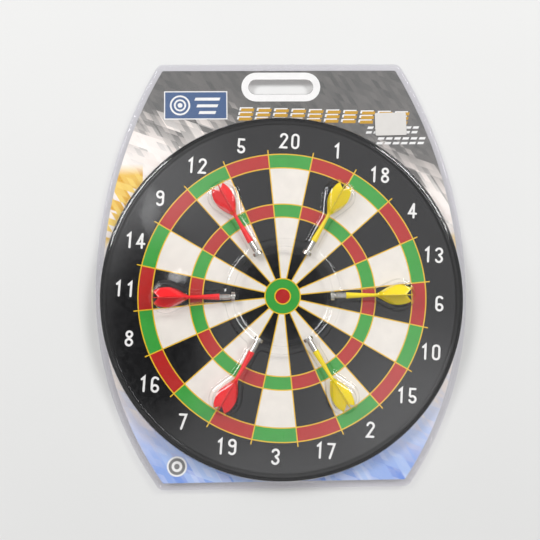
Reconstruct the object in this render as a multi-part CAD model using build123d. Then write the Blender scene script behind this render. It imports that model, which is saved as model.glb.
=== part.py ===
"""A round magnetic dartboard and its six magnetic darts, in their display pack.

The board is a printed steel plate in a moulded rim. It lies on a printed card between two clear formed
sheets, and the front sheet has a pocket over each dart.

The pack hangs upright: +Z is up, the face looks toward -Y and +X is to the right seen from the front.
The origin lies on the pack's flat back, straight behind the bull. Everything is first drawn lying down,
x to the right, y up the pack and z the depth in front of the pack's back, and is stood up at the end.
All sizes are in millimetres and all angles in degrees.
"""

from build123d import *
from math import atan2, cos, degrees, radians, sin
import os

# ---- Driving dimensions ------------------------------------------------------------------------------

PLAY = 0.3  # least gap between two bodies that part from each other

# The pack's outline: straight top and bottom edges, and bowed sides
PACK_TOP = 253.0
PACK_BOTTOM = -200.0
PACK_WIDEST = 7.0  # height at which the sides stand widest
TOP_HALF_WIDTH = 131.0
BOTTOM_HALF_WIDTH = 130.0
WIDEST_HALF_WIDTH = 197.5
PACK_CORNER = 9.0
CARD_INSET = 7.0

# The hang slot, a stadium through all three sheets
SLOT_LENGTH = 70.0
SLOT_HEIGHT = 16.0
SLOT_BELOW_TOP = 25.0
SLOT_ASIDE = 1.5  # punched a little to the right of the middle

# Sheets, from the back forward
BACK_SHEET = 0.5
CARD_SHEET = 0.6
FRONT_SHEET = 0.5
BEAD_OUTER_INSET = 2.0
BEAD_WIDTH = 3.2
BEAD_HEIGHT = 1.6

# The board
BOARD_RADIUS = 190.0
BOARD_DEPTH = 15.0
BOARD_TURN = -3.9  # the board has turned clockwise in its round pocket
LIP_RADIUS = 181.5  # inner edge of the rim's lip, round the visible face
LIP_HEIGHT = 2.2
FILM_THICK = 0.2
PLATE_THICK = 0.4
PLATE_RADIUS = 184.0
RIM_WALL = 2.6
FOAM_RADIUS = 175.0
PANEL_THICK = 2.0
PANEL_RECESS = 1.8

# Screws that hold the back panel to the rim's bosses
SCREW_COUNT = 8
SCREW_CIRCLE = 180.0
BOSS_RADIUS = 3.2
SCREW_RADIUS = 1.25
SCREW_LENGTH = 8.0
SCREW_HEAD_RADIUS = 2.8
SCREW_HEAD_HEIGHT = 1.3

# The keyhole plate that hangs the bare board on a wall screw
KEYHOLE_UP = 150.0
KEYHOLE_RADIUS = 4.5
KEYHOLE_SLOT_RADIUS = 2.25
KEYHOLE_RISE = 10.0
KEYPLATE_WIDTH = 46.0
KEYPLATE_HEIGHT = 30.0
KEYPLATE_THICK = 0.8
RIVET_SPACING = 35.0
RIVET_RADIUS = 1.6
RIVET_HEAD_RADIUS = 3.0
RIVET_HEAD_HEIGHT = 0.9

# A dart, measured along its axis from the magnet's face
DART_COUNT = 6
DART_START = 49.5  # distance of the magnet's face from the board's centre
DART_LENGTH = 84.5
HEAD_RADIUS = 5.0
HEAD_LENGTH = 3.8
MAGNET_RADIUS = 4.2
MAGNET_THICK = 2.0
NECK_RADIUS = 2.2
NECK_LENGTH = 1.2
STUD_RADIUS = 1.4
STUD_LENGTH = 5.0
BARREL_RADIUS = 2.9
BARREL_END = 16.0
SOCKET_RADIUS = 2.0
SPIGOT_LENGTH = 4.0
SHAFT_RADIUS = 3.3
SHAFT_NECK_RADIUS = 1.8
FIN_START = 46.0
FIN_RADIUS = 12.2
FIN_THICK = 1.1
FIN_COUNT = 3
CORE_END = 79.0
DART_ROLLS = [2.0, -5.0, 4.0, -2.0, 5.0, -5.0]  # how far each dart has rolled, from the right anticlockwise

# The front shell's reliefs
DOME_GAP = 0.6
DOME_FILLET = 3.5
RING_INNER = 47.6
RING_OUTER = 60.5
CHANNEL_HALF_WIDTH = 6.6
LEAF_RADIUS = 17.2
LEAF_CENTRE = 71.0  # along the dart, from the magnet's face
HEAD_ROOM = 1.1
RELIEF_FILLET = 2.5

# The blank price label on the front shell
STICKER_SIZE = (34.0, 25.0)
STICKER_CENTRE = (120.5, 186.2)
STICKER_CORNER = 1.5
STICKER_THICK = 0.2

# ---- Depths worked out from those ---------------------------------------------------------------------

CARD_FRONT = BACK_SHEET + CARD_SHEET
SHELL_BACK = CARD_FRONT + PLAY + 0.1
SHELL_FRONT = SHELL_BACK + FRONT_SHEET
BOARD_BACK = SHELL_BACK
BOARD_FRONT = BOARD_BACK + BOARD_DEPTH
FACE = BOARD_FRONT - LIP_HEIGHT
FILM_BACK = FACE - FILM_THICK
PLATE_BACK = FILM_BACK - PLATE_THICK
PANEL_BACK = BOARD_BACK + PANEL_RECESS
PANEL_FRONT = PANEL_BACK + PANEL_THICK
DOME_INSIDE = BOARD_FRONT + DOME_GAP
CHANNEL_INSIDE = FACE + PLAY + 2 * HEAD_RADIUS + HEAD_ROOM
STEEPEST_ROLL = max(abs(roll) for roll in DART_ROLLS)
DART_SPACING = 360 / DART_COUNT


def tail_height(roll):
    """Height of the dart's axis over its two lower fins' edges, once it has rolled."""
    return FIN_RADIUS * cos(radians(60 - abs(roll))) + FIN_THICK / 2


LEAF_INSIDE = FACE + PLAY + tail_height(STEEPEST_ROLL) + FIN_RADIUS + HEAD_ROOM


# ---- Helpers -------------------------------------------------------------------------------------------


def disc(radius, bottom, top):
    """A round slab about the board's axis between two depths."""
    return Pos(0, 0, bottom) * extrude(Circle(radius), top - bottom)


def block(face, bottom, top):
    """A flat shape raised between two depths."""
    return Pos(0, 0, bottom) * extrude(face, top - bottom)


def turned_board(shape):
    """Turns a piece of the board by as much as the board has turned in its pocket."""
    return Rot(0, 0, BOARD_TURN) * shape


def stood_up(shape):
    """Stands the lying model up: depth runs toward -Y and the pack's top points to +Z."""
    return Rot(90, 0, 0) * shape


# ---- The pack's three sheets ---------------------------------------------------------------------------


def pack_face(inset):
    """The pack's outline, drawn in by a margin: two arcs a side, upright where the pack is widest."""
    widest = (WIDEST_HALF_WIDTH, PACK_WIDEST)
    top = (TOP_HALF_WIDTH, PACK_TOP)
    bottom = (BOTTOM_HALF_WIDTH, PACK_BOTTOM)
    sides = [TangentArc(widest, top, tangent=(0, 1)), TangentArc(widest, bottom, tangent=(0, -1))]
    sides += [mirror(side, Plane.YZ) for side in sides]
    ends = [
        Line(top, (-TOP_HALF_WIDTH, PACK_TOP)),
        Line(bottom, (-BOTTOM_HALF_WIDTH, PACK_BOTTOM)),
    ]
    face = make_face(sides + ends)
    corners = face.vertices().sort_by(Axis.X)
    corners = [c for c in corners if abs(c.Y - PACK_WIDEST) > 1]
    face = fillet(corners, PACK_CORNER)
    return offset(face, -inset) if inset else face


def hang_slot():
    """The slot's stadium, drawn through every sheet."""
    return Pos(SLOT_ASIDE, PACK_TOP - SLOT_BELOW_TOP) * SlotOverall(SLOT_LENGTH, SLOT_HEIGHT)


def back_shell():
    return block(pack_face(0) - hang_slot(), 0, BACK_SHEET)


def backing_card():
    return block(pack_face(CARD_INSET) - hang_slot(), BACK_SHEET, CARD_FRONT)


def dart_pocket_plan(margin):
    """A dart's pocket seen from the front, along +X from the board's centre, drawn in by a margin."""
    half = CHANNEL_HALF_WIDTH - margin
    root = DART_START + FIN_START
    inner_end = (RING_INNER + RING_OUTER) / 2
    channel = Pos((inner_end + root) / 2, 0) * Rectangle(root - inner_end, 2 * half)
    bulb = Pos(DART_START + LEAF_CENTRE, 0) * Circle(LEAF_RADIUS - margin)
    throat = Pos(root, 0) * Circle(half)
    leaf = make_hull(bulb.edges() + throat.edges())
    return channel, leaf


def dart_pocket(margin, floor, channel_top, leaf_top):
    """One pocket: a low channel over the shaft and a tall leaf-shaped bulge over the flight."""
    channel, leaf = dart_pocket_plan(margin)
    fillet_radius = RELIEF_FILLET - margin
    low = block(channel, floor, channel_top)
    low = fillet(low.edges().filter_by(Axis.X).group_by(Axis.Z)[-1], fillet_radius)
    tall = block(leaf, floor, leaf_top)
    tall = fillet(tall.faces().sort_by(Axis.Z)[-1].edges(), fillet_radius)
    return low + tall


def shell_form(margin, floor, lift):
    """The front shell's outer form for a margin of 0, or the hollow inside it for a margin of one sheet."""
    dome = disc(BOARD_RADIUS + DOME_GAP + FRONT_SHEET - margin, floor, DOME_INSIDE + lift)
    dome = fillet(dome.edges().sort_by(Axis.Z)[-1], DOME_FILLET - margin)
    ring = disc(RING_OUTER - margin, floor, CHANNEL_INSIDE + lift)
    ring = fillet(ring.edges().sort_by(Axis.Z)[-1], RELIEF_FILLET - margin)
    ring -= disc(RING_INNER + margin, DOME_INSIDE + lift, CHANNEL_INSIDE + lift + 1)
    form = dome + ring
    for k in range(DART_COUNT):
        pocket = dart_pocket(margin, DOME_INSIDE, CHANNEL_INSIDE + lift, LEAF_INSIDE + lift)
        form += Rot(0, 0, k * DART_SPACING) * pocket
    bead = pack_face(BEAD_OUTER_INSET + margin) - pack_face(BEAD_OUTER_INSET + BEAD_WIDTH - margin)
    return form + block(bead, floor, SHELL_BACK + BEAD_HEIGHT + lift)


def front_shell():
    flange = block(pack_face(0), SHELL_BACK, SHELL_FRONT)
    shell = flange + shell_form(0, SHELL_BACK, FRONT_SHEET)
    shell -= shell_form(FRONT_SHEET, SHELL_BACK - 1, 0)
    return shell - block(hang_slot(), 0, BOARD_FRONT)


def price_sticker():
    """The blank label on the flange, top right."""
    label = Pos(*STICKER_CENTRE) * Rot(0, 0, 1) * RectangleRounded(*STICKER_SIZE, STICKER_CORNER)
    return block(label, SHELL_FRONT, SHELL_FRONT + STICKER_THICK)


# ---- The board -----------------------------------------------------------------------------------------


def rim_profile():
    """The rim's section, at the right of the axis: wall, rounded shoulder, fine groove, crowned bead, lip."""
    outer = BOARD_RADIUS
    inner = BOARD_RADIUS - RIM_WALL
    shoulder = 3.4
    groove_outer = outer - shoulder
    groove_depth = 0.7
    bead_outer = groove_outer - 1.0
    bead_inner = LIP_RADIUS + 1.3
    crown = BOARD_FRONT - 0.2
    crown_tip = BOARD_FRONT
    lip_edge = BOARD_FRONT - 1.3
    back_round = 0.8
    section = [
        Line((inner, BOARD_BACK), (outer - back_round, BOARD_BACK)),
        TangentArc((outer - back_round, BOARD_BACK), (outer, BOARD_BACK + back_round), tangent=(1, 0)),
        Line((outer, BOARD_BACK + back_round), (outer, crown - shoulder)),
        TangentArc((outer, crown - shoulder), (groove_outer, crown), tangent=(0, 1)),
        Polyline(
            (groove_outer, crown),
            ((groove_outer + bead_outer) / 2, crown - groove_depth),
            (bead_outer, crown),
        ),
        ThreePointArc((bead_outer, crown), ((bead_outer + bead_inner) / 2, crown_tip), (bead_inner, crown)),
        TangentArc((bead_inner, crown), (LIP_RADIUS, lip_edge), tangent=(-1, 0)),
        Polyline(
            (LIP_RADIUS, lip_edge),
            (LIP_RADIUS, FACE),
            (PLATE_RADIUS + 0.2, FACE),
            (PLATE_RADIUS + 0.2, PLATE_BACK),
            (inner, PLATE_BACK),
            (inner, BOARD_BACK),
        ),
    ]
    return make_face(section)


def screw_places():
    """Where the screws stand on the board, as placements round its axis."""
    return [Rot(0, 0, (k + 0.5) * 360 / SCREW_COUNT) * Pos(SCREW_CIRCLE, 0) for k in range(SCREW_COUNT)]


def rim_frame():
    """The moulded rim: a revolved section, with ribbed screw bosses behind the plate."""
    rim = revolve(Plane.XZ * rim_profile(), Axis.Z)
    rib_length = BOARD_RADIUS - RIM_WALL - SCREW_CIRCLE + 0.5
    for place in screw_places():
        boss = block(Circle(BOSS_RADIUS), PANEL_FRONT, PLATE_BACK)
        rib = block(Pos(rib_length / 2, 0) * Rectangle(rib_length, 2.0), PANEL_FRONT, PLATE_BACK)
        pilot = block(Circle(SCREW_RADIUS), 0, PANEL_BACK + SCREW_LENGTH)
        rim += place * (boss + rib)
        rim -= place * pilot
    return rim


def face_film():
    return disc(PLATE_RADIUS - 0.4, FILM_BACK, FACE)


def target_plate():
    return disc(PLATE_RADIUS, PLATE_BACK, FILM_BACK)


def foam_core():
    """The deadening foam behind the plate, cut away behind the keyhole."""
    pocket = Pos(0, KEYHOLE_UP + 3) * RectangleRounded(KEYPLATE_WIDTH + 6, KEYPLATE_HEIGHT + 6, 5)
    return block(Circle(FOAM_RADIUS) - pocket, PANEL_FRONT, PLATE_BACK)


def back_panel():
    """The hardboard disc that closes the board, drilled for its screws and open behind the keyhole."""
    window = Pos(0, KEYHOLE_UP + KEYHOLE_RISE / 2) * Rot(0, 0, 90) * SlotOverall(26, 18)
    rivets = [Pos(side * RIVET_SPACING / 2, KEYHOLE_UP + 5) * Circle(RIVET_RADIUS) for side in (-1, 1)]
    panel = Circle(BOARD_RADIUS - RIM_WALL - 0.2) - window - rivets
    for place in screw_places():
        panel -= place * Circle(SCREW_RADIUS)
    return block(panel, PANEL_BACK, PANEL_FRONT)


def panel_screws():
    """The pan-head screws, as one group of separate solids."""
    arm = Rectangle(SCREW_HEAD_RADIUS * 1.2, 0.6)
    screws = []
    for place in screw_places():
        head = block(Circle(SCREW_HEAD_RADIUS), PANEL_BACK - SCREW_HEAD_HEIGHT, PANEL_BACK)
        head = fillet(head.edges().sort_by(Axis.Z)[0], 0.6)
        recess = block(arm + Rot(0, 0, 90) * arm, PANEL_BACK - SCREW_HEAD_HEIGHT, PANEL_BACK - 0.6)
        shank = block(Circle(SCREW_RADIUS), PANEL_BACK, PANEL_BACK + SCREW_LENGTH)
        screws.append(place * (head - recess + shank))
    return Compound(screws)


def keyhole_plan():
    """A round entry with a narrower slot above it."""
    entry = Pos(0, KEYHOLE_UP) * Circle(KEYHOLE_RADIUS)
    neck = Pos(0, KEYHOLE_UP + KEYHOLE_RISE / 2) * Rectangle(2 * KEYHOLE_SLOT_RADIUS, KEYHOLE_RISE)
    seat = Pos(0, KEYHOLE_UP + KEYHOLE_RISE) * Circle(KEYHOLE_SLOT_RADIUS)
    return entry + neck + seat


def hanger_plate():
    plate = Pos(0, KEYHOLE_UP + 4) * RectangleRounded(KEYPLATE_WIDTH, KEYPLATE_HEIGHT, 4)
    rivets = [Pos(side * RIVET_SPACING / 2, KEYHOLE_UP + 5) * Circle(RIVET_RADIUS) for side in (-1, 1)]
    return block(plate - keyhole_plan() - rivets, PANEL_FRONT, PANEL_FRONT + KEYPLATE_THICK)


def hanger_rivets():
    """The two rivets through the panel and the keyhole plate."""
    plate_front = PANEL_FRONT + KEYPLATE_THICK
    rivets = []
    for side in (-1, 1):
        head = block(Circle(RIVET_HEAD_RADIUS), PANEL_BACK - RIVET_HEAD_HEIGHT, PANEL_BACK)
        head = fillet(head.edges().sort_by(Axis.Z)[0], 0.6)
        shank = block(Circle(RIVET_RADIUS), PANEL_BACK, plate_front)
        closed = block(Circle(RIVET_HEAD_RADIUS - 0.5), plate_front, plate_front + RIVET_HEAD_HEIGHT)
        rivets.append(Pos(side * RIVET_SPACING / 2, KEYHOLE_UP + 5) * (head + shank + closed))
    return Compound(rivets)


# ---- A dart, drawn along +X from its magnet's face, with its axis on the X axis ----------------------------


def round_bar(*stations):
    """A solid turned about the X axis from (distance, radius) pairs."""
    first, last = stations[0][0], stations[-1][0]
    return revolve(make_face(Polyline((first, 0), *stations, (last, 0), close=True)), Axis.X)


def dart_magnet():
    return round_bar((0, MAGNET_RADIUS), (MAGNET_THICK, MAGNET_RADIUS))


def dart_head():
    """The plated cup that holds the magnet, with the stud that goes up the barrel."""
    edge = 0.5
    cup = round_bar(
        (0, HEAD_RADIUS - edge),
        (edge, HEAD_RADIUS),
        (HEAD_LENGTH - edge, HEAD_RADIUS),
        (HEAD_LENGTH, HEAD_RADIUS - edge),
        (HEAD_LENGTH, NECK_RADIUS),
        (HEAD_LENGTH + NECK_LENGTH, NECK_RADIUS),
        (HEAD_LENGTH + NECK_LENGTH, STUD_RADIUS),
        (HEAD_LENGTH + NECK_LENGTH + STUD_LENGTH, STUD_RADIUS),
    )
    return cup - dart_magnet()


def dart_barrel():
    """The plated tube between head and shaft, bored for the stud and the shaft's spigot."""
    start = HEAD_LENGTH + NECK_LENGTH
    edge = 0.4
    tube = round_bar(
        (start, BARREL_RADIUS - edge),
        (start + edge, BARREL_RADIUS),
        (BARREL_END, BARREL_RADIUS),
    )
    stud_bore = round_bar((start, STUD_RADIUS), (start + STUD_LENGTH, STUD_RADIUS))
    socket = round_bar((BARREL_END - SPIGOT_LENGTH, SOCKET_RADIUS), (BARREL_END, SOCKET_RADIUS))
    return tube - stud_bore - socket


def fin():
    """One leaf-shaped fin in the upright plane, with a swallow-tailed end."""
    leaf = Spline(
        (FIN_START, SHAFT_NECK_RADIUS * 0.7),
        (FIN_START + 9, FIN_RADIUS * 0.52),
        (FIN_START + 23, FIN_RADIUS),
        (DART_LENGTH - 3, FIN_RADIUS * 0.84),
        (DART_LENGTH, FIN_RADIUS * 0.6),
    )
    notch = Spline(
        (DART_LENGTH, FIN_RADIUS * 0.6),
        (DART_LENGTH - 3, FIN_RADIUS * 0.33),
        (CORE_END - 0.5, 0),
    )
    root = Line((CORE_END - 0.5, 0), (FIN_START, 0))
    start = Line((FIN_START, 0), (FIN_START, SHAFT_NECK_RADIUS * 0.7))
    return extrude(Plane.XZ * make_face([start, leaf, notch, root]), FIN_THICK / 2, both=True)


def dart_flight():
    """Shaft and fins, one moulding: spigot, tapering shaft, slender core and three fins."""
    shaft = round_bar(
        (BARREL_END - SPIGOT_LENGTH, SOCKET_RADIUS),
        (BARREL_END, SOCKET_RADIUS),
        (BARREL_END, SHAFT_RADIUS),
        (FIN_START - 4, SHAFT_NECK_RADIUS),
        (FIN_START + 4, SHAFT_NECK_RADIUS),
        (CORE_END, 0.9),
    )
    for k in range(FIN_COUNT):
        shaft += Rot(k * 360 / FIN_COUNT, 0, 0) * fin()
    return shaft


def on_board(index, shape):
    """Lays dart number index on the face, resting on its head's rim and two lower fins."""
    roll = DART_ROLLS[index]
    contact = FIN_START + 23  # where the fins are broadest
    rise = tail_height(roll) - HEAD_RADIUS
    tilt = degrees(atan2(rise, contact))
    lift = FACE + PLAY + HEAD_RADIUS + HEAD_LENGTH * sin(radians(tilt))
    place = Rot(0, 0, index * DART_SPACING) * Pos(DART_START, 0, lift) * Rot(0, -tilt, 0) * Rot(roll, 0, 0)
    return place * shape


def dart_name(index):
    """Three yellow darts lie to the right and three red ones to the left."""
    order = {0: "yellow_dart_1", 1: "yellow_dart_2", 2: "red_dart_1"}
    order |= {3: "red_dart_2", 4: "red_dart_3", 5: "yellow_dart_3"}
    return order[index]


# ---- Everything, piece by piece ------------------------------------------------------------------------


def all_pieces():
    pieces = {
        "back_shell": back_shell(),
        "backing_card": backing_card(),
        "front_shell": front_shell(),
        "price_sticker": price_sticker(),
        "rim_frame": turned_board(rim_frame()),
        "face_film": turned_board(face_film()),
        "target_plate": turned_board(target_plate()),
        "foam_core": turned_board(foam_core()),
        "back_panel": turned_board(back_panel()),
        "panel_screws": turned_board(panel_screws()),
        "hanger_plate": turned_board(hanger_plate()),
        "hanger_rivets": turned_board(hanger_rivets()),
    }
    dart_pieces = {
        "flight": dart_flight(),
        "barrel": dart_barrel(),
        "head": dart_head(),
        "magnet": dart_magnet(),
    }
    for index in range(DART_COUNT):
        for piece, shape in dart_pieces.items():
            pieces[f"{dart_name(index)}_{piece}"] = on_board(index, shape)
    return pieces


os.makedirs("parts", exist_ok=True)
for name, shape in all_pieces().items():
    export_step(stood_up(shape), f"parts/{name}.step")
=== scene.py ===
import math

import bmesh
import bpy
import numpy as np
from mathutils import Matrix, Vector
from mathutils.geometry import delaunay_2d_cdt


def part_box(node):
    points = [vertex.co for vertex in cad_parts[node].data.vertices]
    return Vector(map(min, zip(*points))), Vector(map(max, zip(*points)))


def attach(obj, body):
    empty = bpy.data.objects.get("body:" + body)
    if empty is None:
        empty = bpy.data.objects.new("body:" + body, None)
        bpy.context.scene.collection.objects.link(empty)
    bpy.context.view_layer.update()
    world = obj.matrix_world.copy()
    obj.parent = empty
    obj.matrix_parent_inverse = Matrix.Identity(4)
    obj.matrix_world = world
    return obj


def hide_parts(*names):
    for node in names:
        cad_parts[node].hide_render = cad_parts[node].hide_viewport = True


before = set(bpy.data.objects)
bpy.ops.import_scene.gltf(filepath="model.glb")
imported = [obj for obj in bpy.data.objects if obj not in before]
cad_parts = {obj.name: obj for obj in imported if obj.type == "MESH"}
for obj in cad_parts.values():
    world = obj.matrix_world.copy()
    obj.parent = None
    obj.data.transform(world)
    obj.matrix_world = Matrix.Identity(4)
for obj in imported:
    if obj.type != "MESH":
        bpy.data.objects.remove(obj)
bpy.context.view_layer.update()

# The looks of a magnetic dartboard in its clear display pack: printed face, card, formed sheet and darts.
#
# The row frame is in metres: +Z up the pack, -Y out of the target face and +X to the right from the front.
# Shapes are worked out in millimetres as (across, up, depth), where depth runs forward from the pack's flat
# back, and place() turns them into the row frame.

MM = 0.001

# ---- Places read from the frame, in millimetres ----


def depth_of(node, face):
    """Depth of a node's back or front face."""
    low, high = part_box(node)
    return -(high.y if face == "back" else low.y) / MM


def centre_of(node):
    low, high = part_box(node)
    return (low + high) / 2 / MM


FACE = depth_of("face_film", "front")
CARD_FRONT = depth_of("backing_card", "front")
BOARD_FRONT = depth_of("rim_frame", "front")
BOARD_RADIUS = (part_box("rim_frame")[1].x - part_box("rim_frame")[0].x) / 2 / MM
SHELL_FRONT = depth_of("price_sticker", "back")
SHELL_TOP = depth_of("front_shell", "front")
PACK_LOW, PACK_HIGH = (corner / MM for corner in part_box("front_shell"))
HANGER = centre_of("hanger_plate")
BOARD_TURN = math.atan2(HANGER.x, HANGER.z)  # clockwise from upright, in radians

# ---- Sizes of what is drawn here, in millimetres ----

# The printed face
BULL_INNER = 8.1
BULL_OUTER = 18.5
TREBLE_INNER = 83.2
TREBLE_OUTER = 97.2
DOUBLE_INNER = 135.7
DOUBLE_OUTER = 150.4
TICK_END = 155.5
LINE_WIDTH = 1.2
INK = 0.05
LINE_INK = 0.08
OVERLAP = 0.01  # between prints that cross each other
NUMBER_RADIUS = 164.8
NUMBER_TURN = math.radians(-0.6)  # the printed numbers sit a little back from their beds' middles
DIGIT_HEIGHT = 16.5
DIGIT_WIDTH = 8.7
DIGIT_STROKE = 2.25
DIGIT_PITCH = 12.2
NUMBERS = [20, 1, 18, 4, 13, 6, 10, 15, 2, 17, 3, 19, 7, 16, 8, 11, 14, 9, 12, 5]
SECTOR = math.tau / len(NUMBERS)

# The pack's outline and slot
TOP_HALF_WIDTH = 131.0
BOTTOM_HALF_WIDTH = 130.0
PACK_WIDEST = 7.0
PACK_CORNER = 9.0
SLOT_LENGTH = 70.0
SLOT_HEIGHT = 16.0
SLOT_CENTRE = (1.5, PACK_HIGH.z - 25.0)

SLOT_BORDER = 8.0
CARD_CLEARANCE = 0.03  # keeps the card's faces from lying in the same plane as the clear sheets' faces

# The marks that stand where the card has its titles
PANEL_CENTRE = (-91.0, 208.0)
PANEL_SIZE = (68.5, 31.2)
BAND_LEFT = -45.0
BAND_STEP = 18.8
BAND_BOTTOM = 191.0
BAND_FALL = 0.03
BAR_HEIGHT = 3.4
BAR_ROWS = (0.0, 5.0, 10.0)
TITLE_ROWS = [(93.0, 151.0, 176.0, 7), (104.0, 158.0, 164.0, 6)]  # left, right, bottom, bars
FOOT_MARK = (-112.0, -176.0)

# The rim
LIP_RADIUS = 181.5
RIM_WALL = 2.6
SHOULDER = 2.8
CREST = 1.2
CREST_SLOPE = 1.6

# The softboxes, in degrees and metres
SOFTBOX_AROUND = {"left": -53, "right": 52}
SOFTBOX_OFF_AXIS = 46
SOFTBOX_DISTANCE = 2.6
SOFTBOX_SIZE = (1.15, 0.65)
SOFTBOX_GLOW = 14.0
SLOPE_TILT = math.radians(SOFTBOX_OFF_AXIS / 2)  # a face tilted so mirrors a softbox

# The front sheet's reliefs
SHEET = 0.5
BEAD_START = 2.0
BEAD_WIDTH = 2.2
BEAD_HEIGHT = 0.9
DOME_RADIUS = BOARD_RADIUS + 1.1
DOME_TOP = BOARD_FRONT + 1.1
RING_INNER = 46.2
RING_OUTER = 60.5
RING_STEP = 3.0
CHANNEL_HALF_WIDTH = 6.6
CHANNEL_TOP = FACE + 11.9
LEAF_TOP = SHELL_TOP
LEAF_RADIUS = 17.2
LEAF_INSET = 3.1
LEAF_THROAT_RADIUS = 6.0
DART_START = 49.5
THROAT = DART_START + 46.0
LEAF_THROAT = DART_START + 54.0
BULB = DART_START + 71.0
RELIEF_SPREAD = 1.3

# The darts, along the axis from the magnet's face
DART_COUNT = 6
DART_LENGTH = 84.5
HEAD_RADIUS = 5.0
HEAD_LENGTH = 3.8
MAGNET_RADIUS = 4.2
MAGNET_THICK = 2.0
NECK_RADIUS = 2.2
NECK_END = 5.0
BARREL_RADIUS = 2.9
BARREL_END = 16.0
SHAFT_RADIUS = 3.3
SHAFT_NECK_RADIUS = 1.8
FIN_START = 46.0
FIN_PEAK = 70.0
FIN_RADIUS = 12.2
FIN_THICK = 1.1
CORE_END = 78.5
CONTACT = 69.0  # station where the fins are broadest
DARTS = [  # with each one's roll in degrees
    ("yellow_dart_1", 2.0),
    ("yellow_dart_2", -5.0),
    ("red_dart_1", 4.0),
    ("red_dart_2", -2.0),
    ("red_dart_3", 5.0),
    ("yellow_dart_3", -5.0),
]

# The camera, in millimetres and degrees
CAMERA_STAND = (-28.0, -14.2, 661.5)
CAMERA_TARGET = (-12.9, 27.6, FACE)
CAMERA_LEAN = 0.65
CAMERA_LENS = 41.33

# The room: brightness, and oval patches by tangents of directions off the front axis, as
# (centre across, centre up, half width, half height, softness), the bright ones each with a gain
ROOM_WIDE = 0.5
ROOM_BEHIND = 1.0
ROOM_NEAR = 0.62
ROOM_SEEN = 0.85  # what the camera sees past the backdrop
ROOM_DIMMING = 0.9  # in the dark patches
ROOM_DARK = [
    (-0.165, -0.03, 0.085, 0.16, 0.35),
    (0.042, 0.022, 0.075, 0.075, 0.15),
]
ROOM_GLOW = [
    ((-0.2, 0.22, 0.13, 0.13, 0.6), 0.48),
    ((0.26, -0.19, 0.14, 0.13, 0.6), 0.48),
    ((0.02, -0.27, 0.1, 0.06, 0.6), 0.3),
]
ROOM_GLINTS = [
    ((-0.127, 0.058, 0.014, 0.008, 0.5), 5.0),
    ((-0.172, 0.165, 0.012, 0.035, 0.6), 1.4),
]
FLAT = 1e-5  # a filled triangle's area below this is only a seam, in square millimetres

# ---- Points and meshes ----


def place(across, up, depth):
    """A point of the pack in the row frame, in metres."""
    return Vector((across * MM, -depth * MM, up * MM))


def on_board(across, up, depth):
    """A point of the board, which is turned clockwise, in the row frame."""
    cos_turn, sin_turn = math.cos(BOARD_TURN), math.sin(BOARD_TURN)
    return place(across * cos_turn + up * sin_turn, up * cos_turn - across * sin_turn, depth)


def polar(radius, angle):
    """Across and up of a point at an angle clockwise from the top."""
    return radius * math.sin(angle), radius * math.cos(angle)


def arc(centre, radius, start, end, steps):
    """Points of an arc, anticlockwise from +X for rising angles in degrees."""
    angles = np.radians(np.linspace(start, end, steps + 1))
    return [(centre[0] + radius * math.cos(a), centre[1] + radius * math.sin(a)) for a in angles]


def circle_loop(radius, steps, centre=(0, 0)):
    """Points round a circle, anticlockwise from +X."""
    return arc(centre, radius, 0, 360 * (steps - 1) / steps, steps - 1)


def build_mesh(name, points, faces):
    """A mesh with its normals outward; a corner that a face names twice is only kept once."""
    mesh = bpy.data.meshes.new(name)
    mesh.from_pydata(points, [], [list(dict.fromkeys(face)) for face in faces])
    tidy = bmesh.new()
    tidy.from_mesh(mesh)
    bmesh.ops.recalc_face_normals(tidy, faces=tidy.faces)
    tidy.to_mesh(mesh)
    tidy.free()
    return mesh


class Shape:
    """Collects faces for one mesh object."""

    def __init__(self, put=place):
        self.put = put
        self.points = []
        self.faces = []

    def add(self, points):
        """Adds (across, up, depth) points and returns their numbers."""
        first = len(self.points)
        self.points += [self.put(*p) for p in points]
        return list(range(first, len(self.points)))

    def strip(self, left, right, back, front, closed=False):
        """A flat solid band between two rails of (across, up) points."""
        loops = [
            self.add([(*a, back), (*a, front), (*b, front), (*b, back)])
            for a, b in zip(left, right)
        ]
        pairs = list(zip(loops, loops[1:]))
        if closed:
            pairs.append((loops[-1], loops[0]))
        else:
            self.faces += [loops[0][::-1], loops[-1]]
        for a, b in pairs:
            self.faces += [[a[k], a[(k + 1) % 4], b[(k + 1) % 4], b[k]] for k in range(4)]

    def prism(self, outline, back, front):
        """A flat solid with a given outline."""
        low = self.add([(*p, back) for p in outline])
        high = self.add([(*p, front) for p in outline])
        self.faces += [low[::-1], high]
        count = len(outline)
        self.faces += [[low[i], low[(i + 1) % count], high[(i + 1) % count], high[i]] for i in range(count)]

    def ring(self, centre, radius, width, back, front, steps=180):
        """A flat circular band, with the radius at its middle."""
        rails = [circle_loop(radius + side * width / 2, steps, centre) for side in (-1, 1)]
        self.strip(*rails, back, front, closed=True)

    def object(self, name, smooth_angle=None):
        made = bpy.data.objects.new(name, build_mesh(name, self.points, self.faces))
        bpy.context.scene.collection.objects.link(made)
        if smooth_angle is not None:
            smooth(made, smooth_angle)
        return made


def smooth(piece, angle):
    """Smooth shading with sharp edges kept, and normals that leave flat faces flat."""
    piece.data.shade_smooth()
    piece.data.set_sharp_from_angle(angle=math.radians(angle))
    weighted = piece.modifiers.new("weighted_normals", "WEIGHTED_NORMAL")
    weighted.keep_sharp = True
    return piece


def finish_piece(piece, body, slot, material, *replaced):
    """Gives a piece its material and its body, and hides the nodes it stands for; the slot is not used."""
    piece.data.materials.clear()
    piece.data.materials.append(material)
    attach(piece, body)
    if replaced:
        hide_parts(*replaced)
    return piece


# ---- Material helpers ----


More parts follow.
